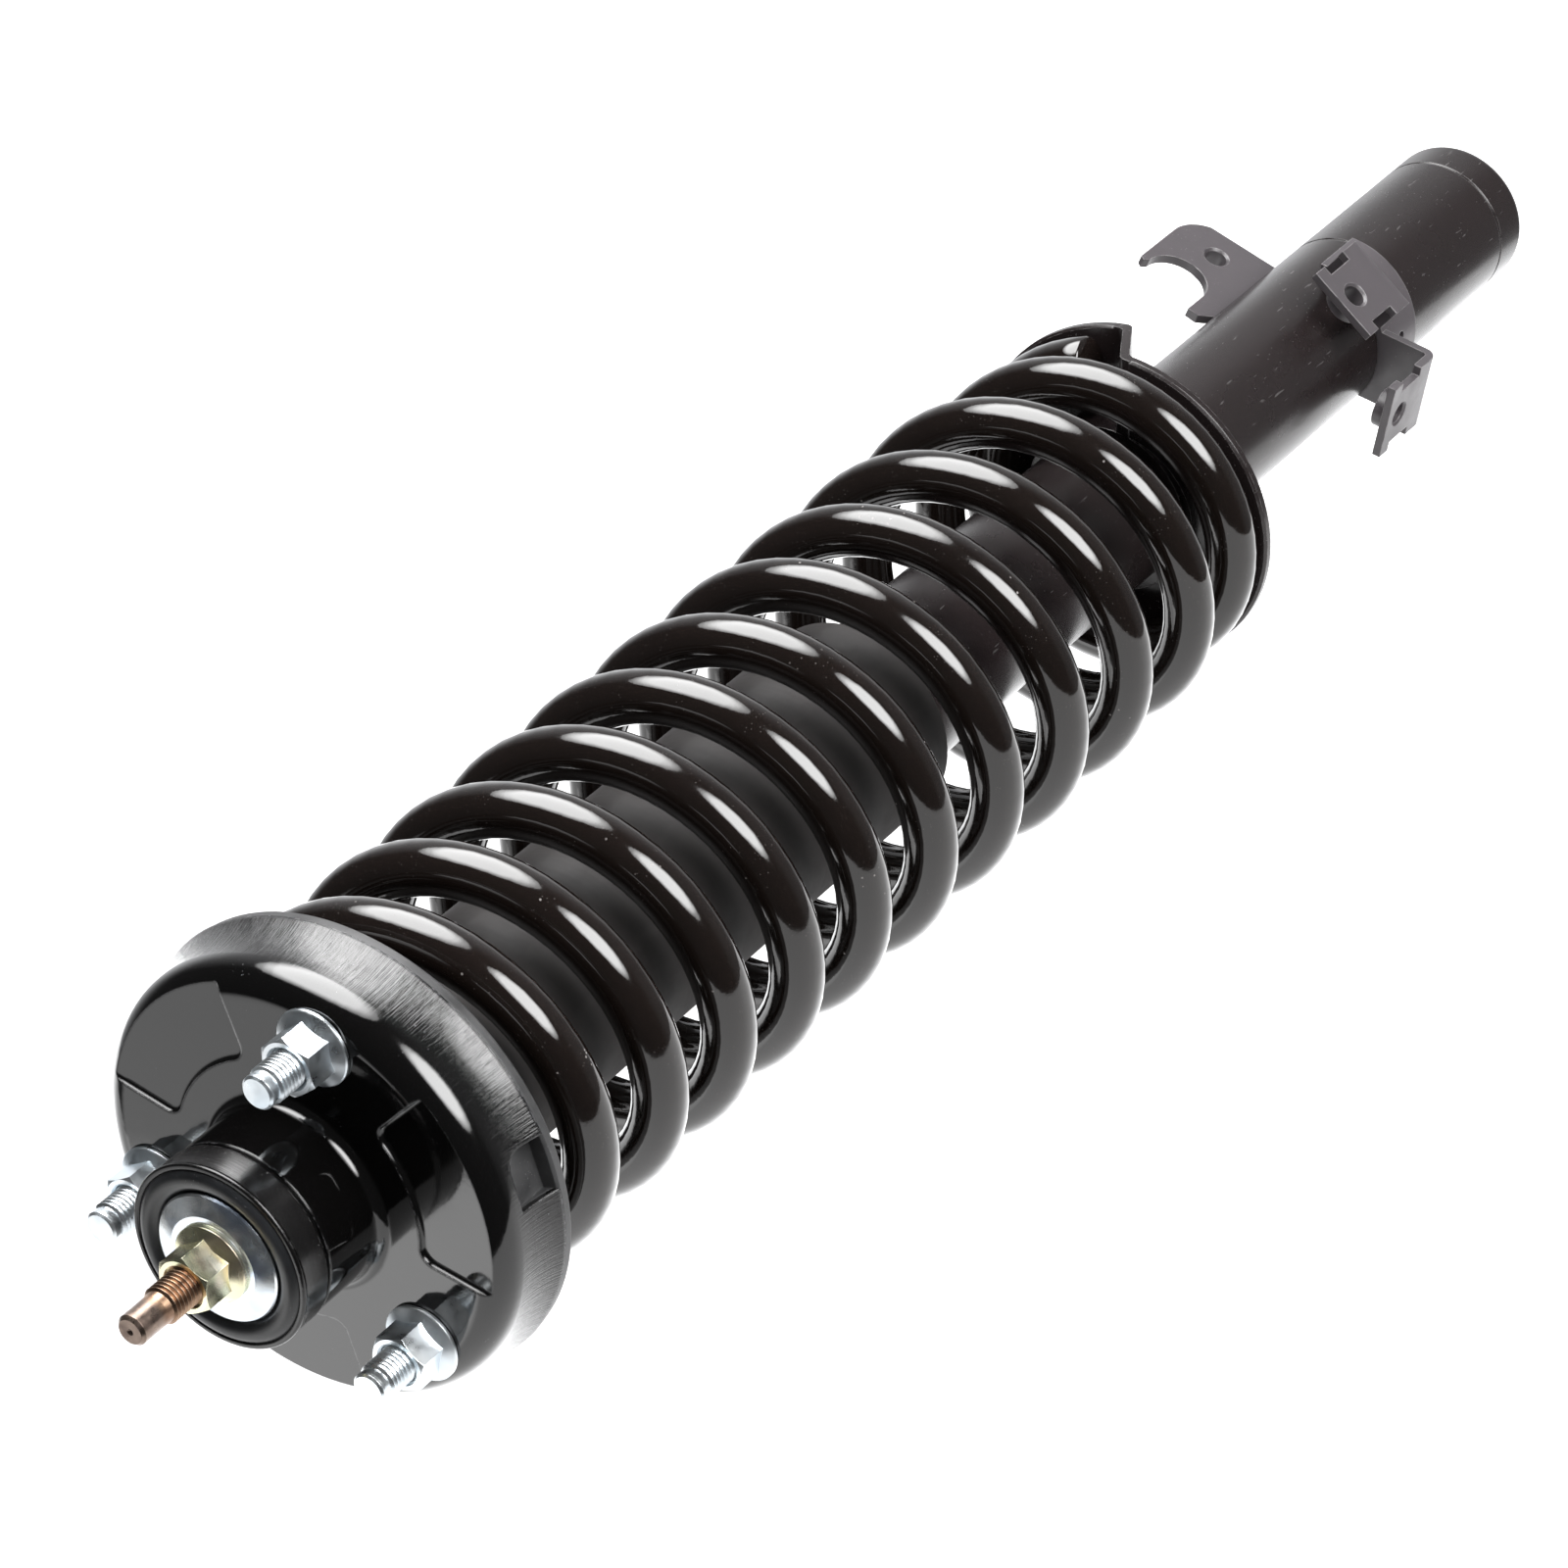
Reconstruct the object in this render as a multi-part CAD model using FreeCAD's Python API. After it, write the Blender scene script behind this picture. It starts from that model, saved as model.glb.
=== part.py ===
import FreeCAD, Part
import math
import os

os.makedirs("parts", exist_ok=True)

# Coil-over suspension strut, fully extended on its rebound stop.
# Millimetres. Z is the strut axis and points up to the piston rod nut.
# Z = 0 is the face of the top mount that bolts against the body of the vehicle.
# One mounting stud stands on +X; azimuths below are degrees round Z from +X.

V = FreeCAD.Vector
ORIGIN = V(0, 0, 0)
UP = V(0, 0, 1)

# Top mount: pressed cup that carries the studs and covers the end of the spring
PLATE = 2.0                 # thickness of the pressed sheet
SKIRT_R = 62.3              # outside of the skirt at its free edge
SKIRT_END_Z = -21.5         # free edge of the skirt
SHOULDER_R = 8.0            # bend between face and skirt
WAIST_R = 59.8              # narrowest part of the skirt, just below the bend
WAIST_Z = -9.0
NECK_R = 24.6               # outside of the raised neck
NECK_TOP_Z = 19.3
NECK_FILLET = 3.0
POCKET_DEPTH = 1.2          # three shallow pockets between the studs
POCKET_INNER_R = 35.8
POCKET_OUTER_R = 60.0
POCKET_HALF_ANGLE = 28.5
POCKET_CORNER_R = 4.0
POCKET_FLOOR_R = 1.0
WINDOW_AZ = 178.5           # window in the edge of the skirt
WINDOW_WIDTH = 14.6
WINDOW_TOP_Z = -10.0
WINDOW_CORNER_R = 5.0       # one upper corner is well rounded, the other is nearly square
WINDOW_SMALL_R = 0.8
WINDOW_RECESS_R = 56.8      # the rubber is set back to here behind the window

# Studs and their flange nuts, M10 x 1.25
STUD_COUNT = 3
STUD_CIRCLE_R = 46.2
STUD_TIP_Z = 21.7
STUD_HEAD_R = 8.0
STUD_HEAD_T = 3.0
STUD_HEAD_CHAMFER = 2.4     # across the head, so that it clears the bend of the shoulder
STUD_FLAT_R = 3.9           # flat end of the stud
STUD_POINT_R = 4.5
STUD_LEAD = 1.6             # plain length before the first thread
THREAD_R = 5.0
THREAD_DEPTH = 0.72
PITCH = 1.25
NUT_FLATS = 14.0
NUT_FLANGE_R = 10.3
NUT_HEIGHT = 10.5
THREAD_PLAY = 0.05          # between thread crest and nut bore

# Rubber bush in the neck
DRUM_R = 24.9
DRUM_TOP_Z = 30.0
DRUM_BOTTOM_Z = 20.8
DRUM_WALL = 1.4
SLEEVE_R = 22.6             # lower part of the bush housing, inside the neck
SLEEVE_BOTTOM_Z = -4.0
WEB_Z = 8.0                 # inward web between the two rubbers
WEB_INNER_R = 13.0
COLLAR_R = 8.5
DRUM_RIM_CHAMFER = 0.4
RUBBER_CROWN_Z = 30.9       # top of the rubber ring between rim and washer
WASHER_R = 17.4
WASHER_FLAT_R = 12.3
WASHER_TOP_Z = 32.0
WASHER_T = 1.8
WASHER_DISH = 1.6
PLATE_WASHER_R = 20.0
PLATE_WASHER_T = 2.5

# Piston rod
ROD_R = 6.25
ROD_SHOULDER_Z = -12.5
ROD_TIP_Z = 62.3
ROD_PILOT_R = 4.1
ROD_PILOT_LENGTH = 9.0
ROD_NUT_HEIGHT = 11.0
ROD_LOWER_THREAD_R = 5.0

# Upper spring rubber
INSULATOR_INNER_R = 36.2
INSULATOR_LIP_R = 61.8
INSULATOR_BOTTOM_Z = -25.5

# Dust cover and bump stop
COVER_R = 29.0
COVER_WALL = 1.5
COVER_END_Z = -243.0
COVER_FLANGE_R = 35.6
BUMP_R = 20.0
BUMP_WAIST_R = 15.0
BUMP_LENGTH = 62.0
BUMP_RIBS = 3

# Coil spring. A turn number of 0 is a point at SPRING_START_AZ and SPRING_START_Z;
# turn numbers grow downwards.
WIRE_R = 7.15
SPRING_MEAN_R = 47.2
SPRING_START_AZ = 120.0
SPRING_START_Z = -56.0
PITCH_AT_START = 29.0
PITCH_GROWTH = 0.64         # per turn
CLOSED_PITCH = 16.0
FIRST_TURN = -1.65
LAST_TURN = 10.595
GROOVE_LAST_TURN = 0.6      # the end coil lies in the rubber down to here
TOP_CLOSE_TURN = -0.75
LOW_CLOSE_TURN = 9.65
CLOSE_BLEND = 0.4           # turns over which the pitch changes
LAST_COIL_SHRINK = 5.2      # the last coil is wound in to a smaller radius
SHRINK_START = 8.5
SHRINK_TURNS = 1.8
STEPS_PER_TURN = 12         # corners of the line whose tangent arcs make the wire
SPRING_GAP = 0.3            # between the wire and its groove in the upper rubber
SEAT_GAP = 0.5              # between the wire and the lower seat

# Damper tube
TUBE_R = 22.5
TUBE_WALL = 2.0
TUBE_TOP_Z = -185.0
TUBE_LIP_R = 10.5
TUBE_SEAM_Z = -571.3
TUBE_END_Z = -586.0
SEAM_CHAMFER = 0.5
CLAMP_LINE_Z = -512.2       # shallow line turned in the tube above the stretch that is clamped
CLAMP_LINE_WIDTH = 1.0
CLAMP_LINE_DEPTH = 0.4
SEAL_T = 9.0
GUIDE_FLANGE_T = 10.0
GUIDE_SPIGOT_T = 10.0
RUNNING_GAP = 0.05
CYLINDER_R = 16.0
CYLINDER_WALL = 1.0
BASE_VALVE_TOP_Z = -552.0
BASE_VALVE_HEIGHT = 10.0
STOP_GAP = 0.3
REBOUND_STOP_T = 11.0
REBOUND_STOP_R = 12.5
PISTON_TOP_Z = -262.0
PISTON_T = 20.0
PISTON_R = 14.7
BAND_T = 8.0
BAND_DEPTH = 0.8
DISC_R = 13.0               # top disc; each one below is smaller
DISC_SHRINK = 1.2
DISC_T = 0.3
DISC_COUNT = 4
PISTON_NUT_HEIGHT = 8.0
PISTON_NUT_CORNER_R = 8.0

# Lower spring seat: one turn of ramp with a slanted step beyond the end of the wire
SEAT_R = 49.5
SEAT_T = 2.6
SEAT_STEP_AZ = 251.5
SEAT_STEP_HALF = 6.5
SEAT_HUB_R = 25.6
SEAT_HUB_BOTTOM_Z = -405.0
SEAT_DRAIN_R = 2.4
SEAT_DRAIN_AZ = 192.0
SEAT_DRAIN_AT_R = 30.5

# Hose bracket: one flat plate standing out from the tube, with a U-shaped mouth
HOOK_AZ = 319.0
HOOK_T = 3.0
HOOK_MOUTH_R = 9.8
HOOK_MOUTH_OUT = 40.5       # distance of the mouth centre from the strut axis
HOOK_MOUTH_Z = -476.0
HOOK_HOLE_OUT = 37.7
HOOK_HOLE_Z = -495.6

# Cable bracket: saddle on the tube, two arms, each arm bent up into a tab
SADDLE_T = 2.5
FLANGE_TOP_Z = -492.2
SADDLE_END_Z = -511.5
TAB_T = 2.5
TAB_WIDTH = 24.0
TAB_END_Z = -468.6
TAB_BEND_R = 1.2            # inside of the bend
TAB_AZ = (211.5, 150.5)
TAB_OUT = (36.0, 39.5)      # outside face of each tab from the strut axis
NOTCH_TOP_Z = -473.5
NOTCH_BOTTOM_Z = -484.5
NOTCH_DEPTH = 3.0
TAPPED_R = 3.4              # inside of an M8 thread
BOSS_R = 6.0
BOSS_LENGTH = 3.5
TAB_HOLE_Z = -475.8


def polar(radius, azimuth, z=0.0):
    turn = math.radians(azimuth)
    return V(radius * math.cos(turn), radius * math.sin(turn), z)


def on_arc(centre_a, centre_b, radius, degrees):
    turn = math.radians(degrees)
    return centre_a + radius * math.cos(turn), centre_b + radius * math.sin(turn)


def outline(items, place):
    """Closed wire. Two numbers: a line to that point. Four: an arc through one point to the next."""
    last = place(items[0][-2], items[0][-1])
    edges = []
    for item in items[1:] + [items[0][-2:]]:
        end = place(item[-2], item[-1])
        if (end - last).Length < 1e-6:
            continue
        if len(item) == 4:
            edges.append(Part.Arc(last, place(item[0], item[1]), end).toShape())
        else:
            edges.append(Part.makeLine(last, end))
        last = end
    return Part.Wire(edges)


def lathe(items):
    """Solid turned round Z from a closed outline of (radius, height) points."""
    wire = outline(items, lambda radius, z: V(radius, 0, z))
    return Part.Face(wire).revolve(ORIGIN, UP, 360)


def ring(inner_r, outer_r, low_z, high_z):
    return lathe([(inner_r, low_z), (outer_r, low_z), (outer_r, high_z), (inner_r, high_z)])


def cylinder(radius, low_z, high_z, x=0.0, y=0.0):
    return Part.makeCylinder(radius, high_z - low_z, V(x, y, low_z))


def thread_points(crest_r, depth, low_z, high_z, pitch):
    """Thread drawn as rings of the true pitch and depth, from low_z up to high_z."""
    count = int((high_z - low_z) / pitch)
    points = []
    for index in range(count):
        z = low_z + index * pitch
        points += [(crest_r - depth, z), (crest_r, z + 0.44 * pitch), (crest_r, z + 0.56 * pitch)]
    return points + [(crest_r - depth, low_z + count * pitch)]


def sector(inner_r, outer_r, low_z, high_z, middle_az, half_angle):
    """Piece of a ring between two azimuths."""
    corner = polar(inner_r, middle_az - half_angle, low_z)
    side = Part.makePolygon([
        corner,
        polar(outer_r, middle_az - half_angle, low_z),
        polar(outer_r, middle_az - half_angle, high_z),
        polar(inner_r, middle_az - half_angle, high_z),
        corner,
    ])
    return Part.Face(side).revolve(ORIGIN, UP, 2 * half_angle)


def turned_to(shape, azimuth):
    shape.rotate(ORIGIN, UP, azimuth)
    return shape


def flange_nut(height, bore_r, turn):
    """Hexagon nut with a collar under it, standing on Z = 0."""
    corner_r = NUT_FLATS / 2 / math.cos(math.radians(30))
    corners = [polar(corner_r, turn + 60 * index) for index in range(7)]
    hexagon = Part.Face(Part.makePolygon(corners)).extrude(V(0, 0, height))
    corner_drop = 1.3
    flange_edge = 1.3
    flange_rise = 2.9
    round_off = 0.3
    mouth = 0.8
    envelope = lathe([
        (0, 0), (corner_r + 1, 0), (corner_r + 1, height - corner_drop),
        (NUT_FLATS / 2, height), (0, height),
    ])
    flange = lathe([
        (0, 0), (NUT_FLANGE_R - round_off, 0), (NUT_FLANGE_R, round_off),
        (NUT_FLANGE_R, flange_edge - round_off), (NUT_FLANGE_R - round_off, flange_edge),
        (NUT_FLATS / 2, flange_rise), (0, flange_rise),
    ])
    bore = lathe([
        (0, -1), (bore_r, -1), (bore_r, height - mouth), (bore_r + mouth, height),
        (bore_r + mouth, height + 1), (0, height + 1),
    ])
    return hexagon.common(envelope).fuse(flange).cut(bore).removeSplitter()


def flare_middle(offset):
    """Middle point of the arc from the waist of the skirt out to its free edge."""
    drop = WAIST_Z - SKIRT_END_Z
    out = SKIRT_R - WAIST_R
    radius = (drop * drop + out * out) / (2 * out)
    half_turn = math.asin(drop / radius) / 2
    return (WAIST_R - offset + radius * (1 - math.cos(half_turn)),
            WAIST_Z - radius * math.sin(half_turn))


def pocket_tool(middle_az):
    """Cutting shape for one pocket: rounded inner corners and a rounded floor edge."""
    tool = sector(POCKET_INNER_R, POCKET_OUTER_R, -POCKET_DEPTH, 1, middle_az, POCKET_HALF_ANGLE)
    corners = [edge for edge in tool.Edges
               if edge.BoundBox.ZLength > 1 and math.hypot(edge.CenterOfMass.x, edge.CenterOfMass.y)
               < POCKET_INNER_R + 1]
    tool = tool.makeFillet(POCKET_CORNER_R, corners)
    floor_edges = [edge for edge in tool.Edges if edge.BoundBox.ZMax < -POCKET_DEPTH + 0.01]
    return tool.makeFillet(POCKET_FLOOR_R, floor_edges)


def window_tool(inner_r):
    """Cutting shape for the window in the skirt, from a radius outwards."""
    window = Part.makeBox(20, WINDOW_WIDTH, WINDOW_TOP_Z - SKIRT_END_Z + 1,
                          V(inner_r, -WINDOW_WIDTH / 2, SKIRT_END_Z - 1))
    for side, radius in ((1, WINDOW_CORNER_R), (-1, WINDOW_SMALL_R)):
        corner = [edge for edge in window.Edges
                  if abs(edge.CenterOfMass.z - WINDOW_TOP_Z) < 0.1
                  and abs(edge.CenterOfMass.y - side * WINDOW_WIDTH / 2) < 0.1]
        window = window.makeFillet(radius, corner)
    return turned_to(window, WINDOW_AZ)


def mount_base():
    """Pressed cup: neck, flat face with three pockets, rounded shoulder and flared skirt."""
    face_outer = WAIST_R - SHOULDER_R
    base_outer = NECK_R + NECK_FILLET
    inner_fillet = NECK_FILLET + PLATE
    neck_inner = NECK_R - PLATE
    shoulder_mid = on_arc(face_outer, -SHOULDER_R, SHOULDER_R, 45)
    shoulder_inner = on_arc(face_outer, -SHOULDER_R, SHOULDER_R - PLATE, 45)
    fillet_mid = on_arc(base_outer, NECK_FILLET, NECK_FILLET, 225)
    fillet_inner = on_arc(base_outer, NECK_FILLET, inner_fillet, 225)
    shell = lathe([
        (neck_inner, NECK_TOP_Z),
        (NECK_R, NECK_TOP_Z),
        (NECK_R, NECK_FILLET),
        fillet_mid + (base_outer, 0),
        (face_outer, 0),
        shoulder_mid + (WAIST_R, -SHOULDER_R),
        (WAIST_R, WAIST_Z),
        flare_middle(0) + (SKIRT_R, SKIRT_END_Z),
        (SKIRT_R - PLATE, SKIRT_END_Z),
        flare_middle(PLATE) + (WAIST_R - PLATE, WAIST_Z),
        (WAIST_R - PLATE, -SHOULDER_R),
        shoulder_inner + (face_outer, -PLATE),
        (base_outer, -PLATE),
        fillet_inner + (neck_inner, NECK_FILLET),
    ])
    for index in range(STUD_COUNT):
        stud_az = index * 360 / STUD_COUNT
        middle_az = stud_az + 180 / STUD_COUNT
        backing = sector(POCKET_INNER_R + 1, face_outer, -PLATE - POCKET_DEPTH, -PLATE,
                         middle_az, POCKET_HALF_ANGLE - 1)
        centre = polar(STUD_CIRCLE_R, stud_az)
        shell = shell.cut(pocket_tool(middle_az)).fuse(backing)
        shell = shell.cut(cylinder(THREAD_R, -PLATE - 1, 1, centre.x, centre.y))
    return shell.cut(window_tool(WAIST_R - 10)).removeSplitter()


def mount_studs():
    """Three press-in studs with a round chamfered head behind the plate."""
    lead_z = STUD_TIP_Z - (STUD_POINT_R - STUD_FLAT_R)
    thread_low = 2.0
    thread = thread_points(THREAD_R, THREAD_DEPTH, thread_low, lead_z - STUD_LEAD, PITCH)
    stud = lathe(
        [(0, STUD_TIP_Z), (STUD_FLAT_R, STUD_TIP_Z), (STUD_POINT_R, lead_z),
         (STUD_POINT_R, lead_z - STUD_LEAD / 2)]
        + thread[::-1]
        + [(THREAD_R, thread_low), (THREAD_R, -PLATE), (STUD_HEAD_R - STUD_HEAD_CHAMFER, -PLATE),
           (STUD_HEAD_R, -PLATE - STUD_HEAD_T / 3),
           (STUD_HEAD_R, -PLATE - STUD_HEAD_T), (0, -PLATE - STUD_HEAD_T)])
    studs = []
    for index in range(STUD_COUNT):
        copy = stud.copy()
        copy.translate(polar(STUD_CIRCLE_R, index * 360 / STUD_COUNT))
        studs.append(copy)
    return Part.makeCompound(studs)


def mount_nuts():
    nuts = []
    for index, turn in enumerate((10, 0, 20)):
        nut = flange_nut(NUT_HEIGHT, THREAD_R + THREAD_PLAY, turn)
        nut.translate(polar(STUD_CIRCLE_R, index * 360 / STUD_COUNT))
        nuts.append(nut)
    return Part.makeCompound(nuts)


def bush_housing():
    """Stepped steel sleeve: wide drum with a rolled rim above, narrow sleeve inside the neck."""
    bead = 0.7
    bead_centre = DRUM_R - bead + 0.3
    bead_side = on_arc(bead_centre, DRUM_TOP_Z - bead, bead, 45)
    drum_inner = DRUM_R - DRUM_WALL
    sleeve_inner = SLEEVE_R - DRUM_WALL
    web_top = WEB_Z + DRUM_WALL
    return lathe([
        (drum_inner, DRUM_BOTTOM_Z),
        (drum_inner, DRUM_TOP_Z - DRUM_RIM_CHAMFER),
        (drum_inner + DRUM_RIM_CHAMFER, DRUM_TOP_Z),
        (bead_centre, DRUM_TOP_Z),
        bead_side + (bead_centre + bead, DRUM_TOP_Z - bead),
        (DRUM_R, DRUM_TOP_Z - 2 * bead),
        (DRUM_R, DRUM_BOTTOM_Z),
        (DRUM_R - 1.0, NECK_TOP_Z),
        (SLEEVE_R, NECK_TOP_Z),
        (SLEEVE_R, SLEEVE_BOTTOM_Z),
        (sleeve_inner, SLEEVE_BOTTOM_Z),
        (sleeve_inner, WEB_Z),
        (WEB_INNER_R, WEB_Z),
        (WEB_INNER_R, web_top),
        (sleeve_inner, web_top),
        (sleeve_inner, DRUM_BOTTOM_Z),
    ])


def washer_under(radius):
    """Height of the underside of the dished washer at a radius outside its flat part."""
    share = (radius - WASHER_FLAT_R) / (WASHER_R - WASHER_FLAT_R)
    return WASHER_TOP_Z - WASHER_T - WASHER_DISH * share


def upper_rubber():
    """Bonded rubber above the web, crowned between the rim of the drum and the washer."""
    drum_inner = DRUM_R - DRUM_WALL
    sleeve_inner = SLEEVE_R - DRUM_WALL
    web_top = WEB_Z + DRUM_WALL
    crown = ((WASHER_R + drum_inner) / 2, RUBBER_CROWN_Z)
    return lathe([
        (COLLAR_R, web_top),
        (sleeve_inner, web_top),
        (sleeve_inner, DRUM_BOTTOM_Z),
        (drum_inner, DRUM_BOTTOM_Z),
        (drum_inner, DRUM_TOP_Z - DRUM_RIM_CHAMFER),
        crown + (WASHER_R, washer_under(WASHER_R)),
        (WASHER_FLAT_R, washer_under(WASHER_FLAT_R)),
        (COLLAR_R, washer_under(WASHER_FLAT_R)),
    ])


def lower_rubber():
    sleeve_inner = SLEEVE_R - DRUM_WALL
    bottom_z = ROD_SHOULDER_Z + PLATE_WASHER_T
    return lathe([
        (COLLAR_R, bottom_z),
        (PLATE_WASHER_R - 1.5, bottom_z),
        (PLATE_WASHER_R, bottom_z + 2.0),
        (sleeve_inner, SLEEVE_BOTTOM_Z),
        (sleeve_inner, WEB_Z),
        (COLLAR_R, WEB_Z),
    ])


def bush_collar():
    top_z = WASHER_TOP_Z - WASHER_T
    return ring(THREAD_R + THREAD_PLAY, COLLAR_R, ROD_SHOULDER_Z + PLATE_WASHER_T, top_z)


def top_washer():
    """Zinc washer, flat in the middle and dished down to its edge."""
    edge_top = WASHER_TOP_Z - WASHER_DISH
    return lathe([
        (THREAD_R + THREAD_PLAY, WASHER_TOP_Z - WASHER_T),
        (WASHER_FLAT_R, WASHER_TOP_Z - WASHER_T),
        (WASHER_R, edge_top - WASHER_T),
        (WASHER_R, edge_top - 0.4),
        (WASHER_R - 0.4, edge_top + 0.1),
        (WASHER_FLAT_R, WASHER_TOP_Z),
        (THREAD_R + THREAD_PLAY, WASHER_TOP_Z),
    ])


def rod_nut():
    nut = flange_nut(ROD_NUT_HEIGHT, THREAD_R + THREAD_PLAY, 12)
    nut.translate(V(0, 0, WASHER_TOP_Z))
    return nut


def plate_washer():
    return ring(THREAD_R + THREAD_PLAY, PLATE_WASHER_R,
                ROD_SHOULDER_Z, ROD_SHOULDER_Z + PLATE_WASHER_T)


def piston_rod():
    """Ground rod with a threaded upper end, a plain pilot tip and a thread for the piston nut."""
    thread_top = ROD_TIP_Z - ROD_PILOT_LENGTH
    thread_low = WASHER_TOP_Z - 3.0
    piston_low = PISTON_TOP_Z - PISTON_T
    nut_thread_low = piston_low - 14.0
    upper = thread_points(THREAD_R, THREAD_DEPTH, thread_low, thread_top - 0.6, PITCH)
    lower = thread_points(ROD_LOWER_THREAD_R, THREAD_DEPTH, nut_thread_low, piston_low - 2.0, PITCH)
    dimple = [(0.9, ROD_TIP_Z), (0, ROD_TIP_Z - 0.7)]
    return lathe(
        [(0, nut_thread_low - 1.0), (ROD_LOWER_THREAD_R - 1.2, nut_thread_low - 1.0)]
        + lower
        + [(ROD_LOWER_THREAD_R, piston_low - 1.0), (ROD_LOWER_THREAD_R, PISTON_TOP_Z),
           (ROD_R, PISTON_TOP_Z), (ROD_R, ROD_SHOULDER_Z), (THREAD_R, ROD_SHOULDER_Z),
           (THREAD_R, thread_low)]
        + upper
        + [(ROD_PILOT_R, thread_top), (ROD_PILOT_R, ROD_TIP_Z - 0.9), (ROD_PILOT_R - 0.8, ROD_TIP_Z)]
        + dimple)


def spring_insulator():
    """Rubber ring in the cup: grooved for the end coil, with a lip below the skirt."""
    face_outer = WAIST_R - SHOULDER_R
    lip_top = SKIRT_END_Z
    lip_top_round = 0.7
    lip_round = 1.2
    corner = on_arc(face_outer, -SHOULDER_R, SHOULDER_R - PLATE, 45)
    body = lathe([
        (INSULATOR_INNER_R, -PLATE),
        (face_outer, -PLATE),
        corner + (WAIST_R - PLATE, -SHOULDER_R),
        (WAIST_R - PLATE, WAIST_Z),
        flare_middle(PLATE) + (SKIRT_R - PLATE, lip_top),
        (INSULATOR_LIP_R - lip_top_round, lip_top),
        (INSULATOR_LIP_R, lip_top - lip_top_round),
        (INSULATOR_LIP_R, INSULATOR_BOTTOM_Z + lip_round),
        (INSULATOR_LIP_R - lip_round, INSULATOR_BOTTOM_Z),
        (INSULATOR_INNER_R, INSULATOR_BOTTOM_Z),
    ])
    recess = window_tool(WINDOW_RECESS_R).common(ring(WINDOW_RECESS_R, SKIRT_R, lip_top, WINDOW_TOP_Z))
    body = body.cut(recess)
    for index in range(STUD_COUNT):
        stud_az = index * 360 / STUD_COUNT
        middle_az = stud_az + 180 / STUD_COUNT
        centre = polar(STUD_CIRCLE_R, stud_az)
        body = body.cut(cylinder(STUD_HEAD_R, -PLATE - STUD_HEAD_T, 0, centre.x, centre.y))
        body = body.cut(sector(POCKET_INNER_R + 1, face_outer, -PLATE - POCKET_DEPTH, 0,
                               middle_az, POCKET_HALF_ANGLE - 1))
    groove = round_wire(wire_corners(FIRST_TURN - 0.01, GROOVE_LAST_TURN), WIRE_R + SPRING_GAP)
    return body.cut(groove)


def dust_cover():
    """Plain plastic tube with a flange held under the mount."""
    inner = COVER_R - COVER_WALL
    return lathe([
        (inner, -PLATE),
        (COVER_FLANGE_R, -PLATE),
        (COVER_FLANGE_R, -PLATE - COVER_WALL),
        (COVER_R, -PLATE - COVER_WALL),
        (COVER_R, COVER_END_Z + 0.5),
        (COVER_R - 0.5, COVER_END_Z),
        (inner, COVER_END_Z),
    ])


def bump_stop():
    """Foam buffer with rounded ribs, pushed up the rod against the plate washer."""
    inner = ROD_R + 0.3
    step = BUMP_LENGTH / BUMP_RIBS
    items = [(inner, ROD_SHOULDER_Z), (BUMP_WAIST_R, ROD_SHOULDER_Z)]
    for index in range(BUMP_RIBS):
        low = ROD_SHOULDER_Z - (index + 1) * step
        items.append((BUMP_R - index, low + step / 2, BUMP_WAIST_R - index, low))
    return lathe(items + [(inner, ROD_SHOULDER_Z - BUMP_LENGTH)])


def smooth(share):
    share = min(max(share, 0.0), 1.0)
    return share * share * (3 - 2 * share)


def spring_pitch(turn):
    """Pitch grows slowly down the spring and closes up at both ends."""
    body = PITCH_AT_START + PITCH_GROWTH * turn
    open_top = smooth((turn - TOP_CLOSE_TURN) / CLOSE_BLEND + 0.5)
    open_low = smooth((LOW_CLOSE_TURN - turn) / CLOSE_BLEND + 0.5)
    return CLOSED_PITCH + (body - CLOSED_PITCH) * open_top * open_low


def wire_centre(turn, corner_share=1.0):
    """Point on the centre line of the wire. The pitch is added up from turn 0."""
    steps = 400
    step = turn / steps
    drop = sum(spring_pitch((index + 0.5) * step) for index in range(steps)) * step
    radius = SPRING_MEAN_R - LAST_COIL_SHRINK * smooth((turn - SHRINK_START) / SHRINK_TURNS)
    return polar(radius * corner_share, SPRING_START_AZ - 360 * turn, SPRING_START_Z - drop)


def wire_corners(first_turn, last_turn):
    """Corners of the line whose tangent arcs make the wire from one turn number to another."""
    count = int(round((last_turn - first_turn) * STEPS_PER_TURN))
    step = (last_turn - first_turn) / count
    corner_share = 1 / math.cos(math.pi * step)
    return [wire_centre(first_turn + (index - 0.5) * step, corner_share) for index in range(count + 2)]


def round_wire(points, radius):
    """Round bar along a chain of tangent arcs, one arc for each inner point of the line."""
    reach = (points[1] - points[0]).Length / 2
    heading = (points[1] - points[0]).normalize()
    section = Part.Face(Part.Wire([Part.Circle(points[1] - heading * reach, heading, radius).toShape()]))
    walls = [section]
    for here, after in zip(points[1:-1], points[2:]):
        next_heading = (after - here).normalize()
        axis = heading.cross(next_heading).normalize()
        angle = heading.getAngle(next_heading)
        start = here - heading * reach
        centre = start + axis.cross(heading) * (reach / math.tan(angle / 2))
        bend = section.revolve(centre, axis, math.degrees(angle))
        finish = here + next_heading * reach
        section = min(bend.Faces, key=lambda face: (face.CenterOfMass - finish).Length)
        walls.append(max(bend.Faces, key=lambda face: face.Area))
        reach = (after - here).Length - reach
        heading = next_heading
    shell = Part.makeShell(walls + [section])
    shell.sewShape()
    return Part.makeSolid(Part.Shell(shell.Faces))


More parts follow.
